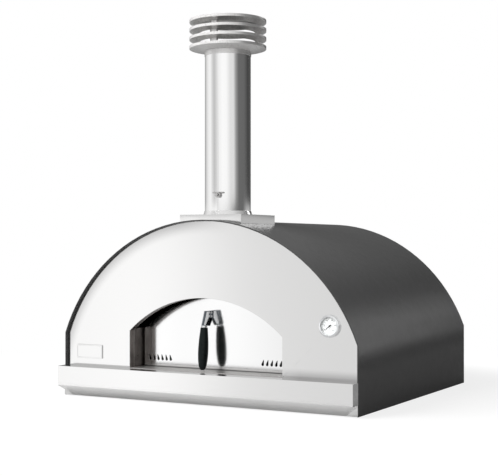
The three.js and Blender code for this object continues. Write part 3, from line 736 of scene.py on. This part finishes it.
def add_dial_scale(ink):
    """Marks, figures and unit on the thermometer's dial."""
    centre = dial_face() - Vector((0, INK_LIFT, 0))
    mesh = bmesh.new()
    for index in range(DIAL_MARKS + 1):
        long_mark = index % (DIAL_MARKS // DIAL_LABELS) == 0
        length = MARK_LONG if long_mark else MARK_SHORT
        width = MARK_WIDE if long_mark else MARK_THIN
        along = dial_direction(index / DIAL_MARKS)
        add_block(mesh, centre + along * (MARK_OUTER - length / 2), along, length, width, INK_DEPTH)
    bmesh.ops.recalc_face_normals(mesh, faces=mesh.faces)
    piece("dial_marks", mesh, ink, "oven")
    for index in range(DIAL_LABELS + 1):
        value = DIAL_TOP_VALUE * index // DIAL_LABELS
        place = centre + dial_direction(index / DIAL_LABELS) * LABEL_RADIUS
        add_label(f"dial_number_{value}", str(value), place, ink)
    add_label("dial_unit", "°C", centre - Vector((0, 0, UNIT_DROP)), ink)


def add_label(name, words, place, ink):
    """Flat raised figures, facing -Y, centred on their place."""
    curve = bpy.data.curves.new(name, "FONT")
    curve.body = words
    curve.size = LABEL_SIZE
    curve.align_x = "CENTER"
    curve.align_y = "CENTER"
    curve.extrude = INK_DEPTH / 2
    text = bpy.data.objects.new(name, curve)
    bpy.context.collection.objects.link(text)
    bpy.context.view_layer.update()
    data = bpy.data.meshes.new_from_object(text.evaluated_get(bpy.context.evaluated_depsgraph_get()))
    bpy.data.objects.remove(text)
    mesh = bmesh.new()
    mesh.from_mesh(data)
    bmesh.ops.remove_doubles(mesh, verts=mesh.verts, dist=GLYPH_WELD)
    upright = Matrix.Translation(place) @ Matrix.Rotation(math.pi / 2, 4, "X")
    bmesh.ops.transform(mesh, matrix=upright, verts=mesh.verts)
    piece(name, mesh, ink, "oven")


# Small domed screws: radius and height of the head, and from its middle to a side of its hexagonal recess
SCREW_RADIUS = 0.0034
SCREW_HEIGHT = 0.0016
SCREW_RECESS = 0.0015
SCREW_SIDES = 24

# Half profile of the head outside its recess: shares of its radius and height
SCREW_DOME = [(1, 0), (1, 0.25), (0.92, 0.62), (0.74, 0.88), (0.52, 1)]

# Shares of the head's height at the recess's rim and floor
RECESS_SHARES = (1, 0.45)

# The screw in each lining of the mouth: its height, and its place behind the casing's front
LINING_SCREW_HEIGHT = 0.1375
LINING_SCREW_DEPTH = 0.060

# Screws of the rear panel: round its arch in degrees, up its sides and along its foot
REAR_SCREW_RADIUS = 0.545
REAR_ARCH_ANGLES = (30, 50, 70, 90, 110, 130, 150)
REAR_SCREW_SIDE = 0.515
REAR_SIDE_HEIGHTS = (0.03, 0.12, 0.20)
REAR_FOOT_HEIGHT = 0.015
REAR_FOOT_PLACES = (-0.33, -0.11, 0.11, 0.33)


def screw_ring(mesh, height, reach_at):
    """One level of a screw head: reach_at gives the radius at an angle."""
    ring = []
    for index in range(SCREW_SIDES):
        angle = 2 * math.pi * index / SCREW_SIDES
        reach = reach_at(angle)
        ring.append(mesh.verts.new((reach * math.cos(angle), reach * math.sin(angle), height)))
    return ring


def hexagon_reach(angle):
    wedge = math.radians(60)
    return SCREW_RECESS / math.cos(angle % wedge - wedge / 2)


def add_screw(name, place, facing, finish):
    """A low domed screw head with a hexagonal recess, standing on a face."""
    mesh = bmesh.new()
    rings = []
    for share, rise in SCREW_DOME:
        rings.append(screw_ring(mesh, rise * SCREW_HEIGHT, lambda angle: share * SCREW_RADIUS))
    for rise in RECESS_SHARES:
        rings.append(screw_ring(mesh, rise * SCREW_HEIGHT, hexagon_reach))
    skin_rings(mesh, rings)
    turn = Vector(facing).to_track_quat("Z", "Y").to_matrix().to_4x4()
    bmesh.ops.transform(mesh, matrix=Matrix.Translation(place) @ turn, verts=mesh.verts)
    piece(name, mesh, finish, "oven")


def add_rear_screws(materials):
    """Screws that hold the rear panel, round its arch, up its sides and along its foot."""
    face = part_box("rear_panel")[1][1]
    places = []
    for degrees in REAR_ARCH_ANGLES:
        angle = math.radians(degrees)
        rise = REAR_SCREW_RADIUS * math.sin(angle)
        places.append((REAR_SCREW_RADIUS * math.cos(angle), VAULT_CENTRE + rise))
    for x in (-REAR_SCREW_SIDE, REAR_SCREW_SIDE):
        places.extend((x, z) for z in REAR_SIDE_HEIGHTS)
    places.extend((x, REAR_FOOT_HEIGHT) for x in REAR_FOOT_PLACES)
    for number, (x, z) in enumerate(places, 1):
        add_screw(f"rear_screw_{number}", (x, face, z), (0, 1, 0), materials["zinc_plate"])


def add_lining_screws(materials):
    """One screw low in each lining of the mouth."""
    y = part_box("vault_shell")[0][1] + LINING_SCREW_DEPTH
    for side, facing in (("left", 1), ("right", -1)):
        low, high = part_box(f"mouth_jamb_{side}")
        x = high[0] if side == "left" else low[0]
        place = (x, y, LINING_SCREW_HEIGHT)
        add_screw(f"lining_screw_{side}", place, (facing, 0, 0), materials["sooted_steel"])


# Studio seen in the metal: azimuth from -Y towards +X in degrees, then brightness.
# Bright at the left and in front, with a dimmer gap between them, and dark behind and to the right
STUDIO = [
    (-180, 0.10), (-150, 0.10), (-116, 0.55), (-88, 0.88), (-68, 0.98), (-54, 0.72),
    (-42, 0.56), (-30, 0.70), (-18, 0.92), (3, 1.04), (23, 1.02), (42, 0.80),
    (59, 0.78), (71, 0.34), (86, 0.15), (119, 0.14), (150, 0.06), (180, 0.09),
]
# The same close to the horizon and below it
HORIZON = [
    (-180, 0.25), (-140, 0.40), (-100, 0.85), (-60, 1.02), (-40, 1.12), (-33.5, 1.21),
    (-31, 1.05), (-29, 0.90), (-24, 0.83), (-5, 0.88), (15, 0.80), (38, 0.60), (60, 0.15),
    (110, 0.15), (136, 0.60), (162, 0.60), (180, 0.2),
]
# What remains of it below the horizon, where the floor far off is darker behind and to the right
DARK_SIDE = [(-180, 0.2), (-140, 1), (70, 1), (105, 0.45), (180, 0.45)]


def rise_at(degrees):
    """Z of a direction at this elevation."""
    return math.sin(math.radians(degrees))


# Bands of the studio from the ground up
GROUND_START = rise_at(-11)
GROUND_END = rise_at(-24)
GROUND_LEVEL = 0.62
HORIZON_BOTTOM = rise_at(0.2)
HORIZON_TOP = rise_at(1.7)
STUDIO_BOTTOM = rise_at(2.3)
CEILING_START = 0.30
CEILING_END = 0.65
CEILING_LEVEL = 0.85

# Brightness of the world where it isn't seen or mirrored, as an even light
DIFFUSE_LEVEL = 0.2

# A soft box behind the oven, mirrored in the paint: degrees, and brightness
BOX_AZIMUTH = 155
BOX_ELEVATION = 18
BOX_HALF = 4
BOX_FADE = 3
BOX_LEVEL = 3.8


def azimuth_ramp(graph, across, forward, stops):
    azimuth = graph.maths("ARCTAN2", across, forward)
    share = graph.remap(azimuth, 0, 1, -math.pi, math.pi)
    return graph.ramp(share, [((angle + 180) / 360, (level, level, level)) for angle, level in stops])


def soft_box(graph, direction):
    turn = math.radians(BOX_AZIMUTH)
    flat = math.cos(math.radians(BOX_ELEVATION))
    centre = (math.sin(turn) * flat, -math.cos(turn) * flat, rise_at(BOX_ELEVATION))
    inputs = {0: direction, 1: centre}
    facing = graph.add("ShaderNodeVectorMath", inputs, operation="DOT_PRODUCT").outputs["Value"]
    edge = math.cos(math.radians(BOX_HALF + BOX_FADE))
    return graph.remap(facing, 0, BOX_LEVEL, edge, math.cos(math.radians(BOX_HALF)), smooth=True)


def studio_colour(graph):
    """The studio by direction: ground, horizon band, walls with the soft box, and ceiling."""
    direction = graph.add("ShaderNodeTexCoord").outputs["Generated"]
    across, behind, rise = graph.axes(direction)
    forward = graph.times(behind, -1.0)
    horizon = azimuth_ramp(graph, across, forward, HORIZON)
    below = graph.mix(1.0, horizon, azimuth_ramp(graph, across, forward, DARK_SIDE), "MULTIPLY")
    above = graph.remap(rise, 0, 1, -HORIZON_BOTTOM, HORIZON_BOTTOM, smooth=True)
    ground = graph.remap(rise, 1, 0, GROUND_END, GROUND_START, smooth=True)
    low = graph.mix(ground, graph.mix(above, below, horizon), grey(GROUND_LEVEL))
    high = azimuth_ramp(graph, across, forward, STUDIO)
    around = graph.mix(graph.remap(rise, 0, 1, HORIZON_TOP, STUDIO_BOTTOM, smooth=True), low, high)
    around = graph.mix(1.0, around, soft_box(graph, direction), "ADD")
    ceiling = graph.remap(rise, 0, 1, CEILING_START, CEILING_END, smooth=True)
    return graph.mix(ceiling, around, grey(CEILING_LEVEL))


def mirrored_ray(graph, path):
    return graph.maths("MAXIMUM", path.outputs["Is Glossy Ray"], path.outputs["Is Transmission Ray"])


def light_world():
    """White behind the object, the studio in its mirror images, and a low even light elsewhere."""
    world = bpy.data.worlds.new("studio")
    bpy.context.scene.world = world
    world.use_nodes = True
    graph = Graph(world.node_tree)
    path = graph.add("ShaderNodeLightPath")
    seen = graph.mix(mirrored_ray(graph, path), grey(DIFFUSE_LEVEL), studio_colour(graph))
    colour = graph.mix(path.outputs["Is Camera Ray"], seen, grey(1.0))
    background = graph.add("ShaderNodeBackground", {"Color": colour})
    output = graph.add("ShaderNodeOutputWorld")
    graph.tree.links.new(background.outputs[0], output.inputs["Surface"])


# The floor: half its side and its height in metres, then its tones for light and in the metal
FLOOR_HALF = 30
FLOOR_LEVEL = -0.0004
FLOOR_TONE = 0.2
MIRRORED_FLOOR_TONE = 0.7

# Distances from the oven's sides over which the mirrored floor turns from lamplit to clear
CLEAR_START = 0.06
CLEAR_END = 0.30

# The floor as seen: lamplit share under the oven, and distances from its middle over which it ends
LAMPLIT_SHARE = 0.25
LAMPLIT_FADE = (0.9, 1.8)

# Its own white glow under the oven, and distances over which that grows to plain white
GLOW_SHARE = 0.80
GLOW_GROWTH = (0.8, 1.4)


def camera_floor(graph):
    """Pale lamplit floor under the oven that fades to plain white away from it."""
    distance = graph.add("ShaderNodeVectorMath", {0: graph.point()}, operation="LENGTH").outputs["Value"]
    near = graph.remap(distance, LAMPLIT_SHARE, 0.0, *LAMPLIT_FADE, smooth=True)
    glow = graph.remap(distance, GLOW_SHARE, 1.0, *GLOW_GROWTH, smooth=True)
    lamplit = graph.diffuse(graph.mix(near, grey(0.0), grey(1.0)))
    light = graph.add("ShaderNodeEmission", {"Strength": glow, "Color": grey(1.0)}).outputs[0]
    return graph.add("ShaderNodeAddShader", {0: lamplit, 1: light}).outputs[0]


def mirrored_floor(graph):
    """What the metal shows of the floor: lamplit close to the oven, and beyond that the studio itself."""
    across, behind, _ = graph.axes()
    corner = CAD_BOX[1]
    beside = graph.maths("SUBTRACT", graph.maths("ABSOLUTE", across), corner[0])
    before = graph.maths("SUBTRACT", graph.maths("ABSOLUTE", behind), corner[1])
    off = graph.maths("MAXIMUM", beside, before)
    share = graph.remap(off, 0, 1, CLEAR_START, CLEAR_END, smooth=True)
    clear = graph.add("ShaderNodeBsdfTransparent").outputs[0]
    return graph.shader_mix(share, graph.diffuse(grey(MIRRORED_FLOOR_TONE)), clear)


def floor_material():
    """One look for the camera, one for mirror images and one for the light it gives back."""
    made = bpy.data.materials.new("floor")
    made.use_nodes = True
    graph = Graph(made.node_tree)
    path = graph.add("ShaderNodeLightPath")
    lamplit = graph.diffuse(grey(FLOOR_TONE))
    others = graph.shader_mix(mirrored_ray(graph, path), lamplit, mirrored_floor(graph))
    surface = graph.shader_mix(path.outputs["Is Camera Ray"], others, camera_floor(graph))
    output = graph.add("ShaderNodeOutputMaterial")
    graph.tree.links.new(surface, output.inputs["Surface"])
    return made


def add_floor():
    mesh = bpy.data.meshes.new("floor")
    sides = ((-1, -1), (1, -1), (1, 1), (-1, 1))
    corners = [(x * FLOOR_HALF, y * FLOOR_HALF, FLOOR_LEVEL) for x, y in sides]
    mesh.from_pydata(corners, [], [(0, 1, 2, 3)])
    floor = bpy.data.objects.new("floor", mesh)
    bpy.context.collection.objects.link(floor)
    mesh.materials.append(floor_material())


# Soft lamps: name, place, what it looks at, size in metres and power in watts
LAMPS = [
    ("key", (-2.6, -4.2, 3.6), (0, 0, 0.3), 3.0, 142),
    ("overhead", (-1.1, -1.7, 2.4), (0, -0.2, 0.4), 1.6, 50),
    ("right", (1.5, -1.8, 0.8), (0.5, -0.2, 0.2), 0.9, 7.5),
]


def add_lamps():
    """Lamps that light the paint and the dial, and don't show in the metal."""
    for name, place, target, size, power in LAMPS:
        data = bpy.data.lights.new(name, "AREA")
        data.shape = "SQUARE"
        data.size = size
        data.energy = power
        lamp = bpy.data.objects.new(name, data)
        lamp.location = place
        lamp.rotation_euler = (Vector(target) - Vector(place)).to_track_quat("-Z", "Y").to_euler()
        lamp.visible_glossy = False
        lamp.visible_camera = False
        bpy.context.collection.objects.link(lamp)


def add_camera():
    data = bpy.data.cameras.new("camera")
    data.lens = CAMERA_LENS
    data.sensor_width = SENSOR_WIDTH
    data.clip_end = VIEW_END
    camera = bpy.data.objects.new("camera", data)
    camera.location = CAMERA_PLACE
    camera.rotation_euler = (math.radians(90 + CAMERA_TILT), 0, math.radians(CAMERA_TURN))
    bpy.context.collection.objects.link(camera)
    bpy.context.scene.camera = camera


def main():
    bpy.context.scene.view_settings.view_transform = "Standard"
    materials = slot_materials()
    dress_nodes(materials, variant_materials())
    add_plate(materials)
    add_dial_scale(dark_ink("dial_ink", 0.02))
    add_lining_screws(materials)
    add_rear_screws(materials)
    light_world()
    add_floor()
    add_lamps()
    add_camera()


main()
